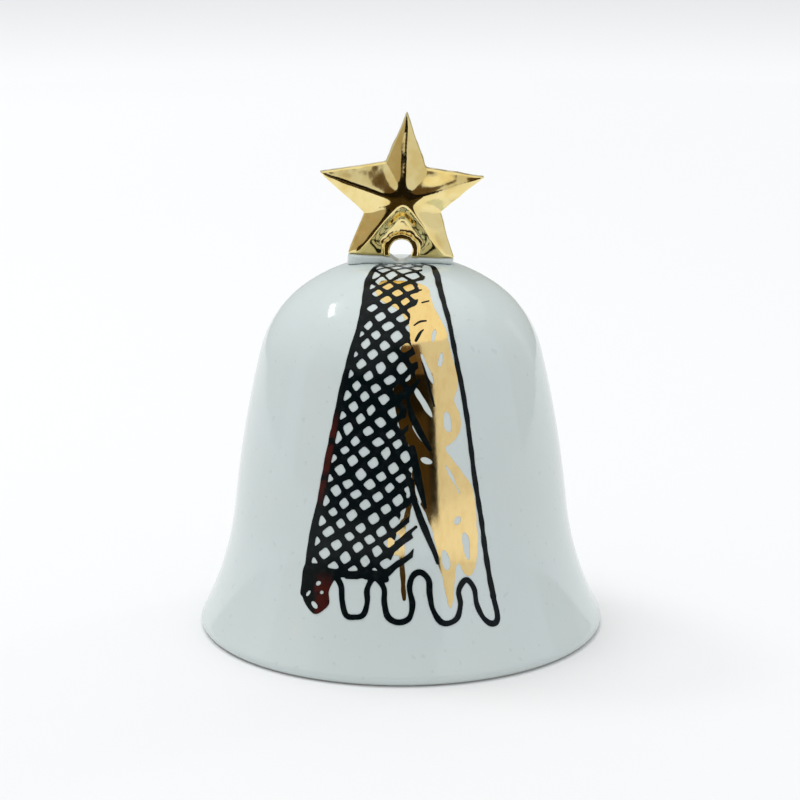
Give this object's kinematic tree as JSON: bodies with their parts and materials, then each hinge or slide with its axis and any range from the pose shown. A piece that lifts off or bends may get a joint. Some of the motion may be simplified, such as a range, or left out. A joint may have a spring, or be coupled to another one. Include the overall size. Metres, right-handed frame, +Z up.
{
  "type": "bell ornament",
  "caption": "Glazed porcelain bell ornament with a gilded star finial pierced for a ribbon, a printed front panel and a free-swinging clapper.",
  "frame": {"origin": "on the bell's axis in the plane of its rim, which is what it stands on", "axes": "+Z up along the bell's axis, -Y towards the printed front, +X to the right seen from the front"},
  "size_m": [0.075, 0.075, 0.0958],
  "materials": {
    "porcelain": "clear gloss glaze over white porcelain",
    "star_gilding": "bright burnished gold over porcelain",
    "line_ink": "black ceramic transfer, fired, semi-gloss",
    "gold_lustre": "fired gold lustre, bright",
    "brass": "polished, lightly worn",
    "brass_wire": "drawn wire, satin",
    "ball_glaze": "gloss glaze",
    "cement": "matt setting cement"
  },
  "bodies": {
    "bell": {"bell_shell": "porcelain", "star_pad": "porcelain", "star_finial": "star_gilding", "line_print": "line_ink", "gold_print": "gold_lustre", "swivel_bush": "brass", "bush_cement": "cement"},
    "swivel": {"swivel_pin": "brass_wire"},
    "clapper": {"clapper_wire": "brass_wire", "clapper_ball": "ball_glaze", "upper_ball_cap": "brass", "lower_ball_cap": "brass", "crimp_bead": "brass"}
  },
  "joints": [
    {"name": "hanger_swivel", "type": "hinge", "parent": "bell", "child": "swivel", "pos_m": [0, 0, 0.063], "axis": [0, 0, 1], "continuous": true},
    {"name": "clapper_swing", "type": "hinge", "parent": "swivel", "child": "clapper", "pos_m": [0, 0, 0.0552], "axis": [1, 0, 0], "range_deg": [-31.2, 31.2]}
  ]
}
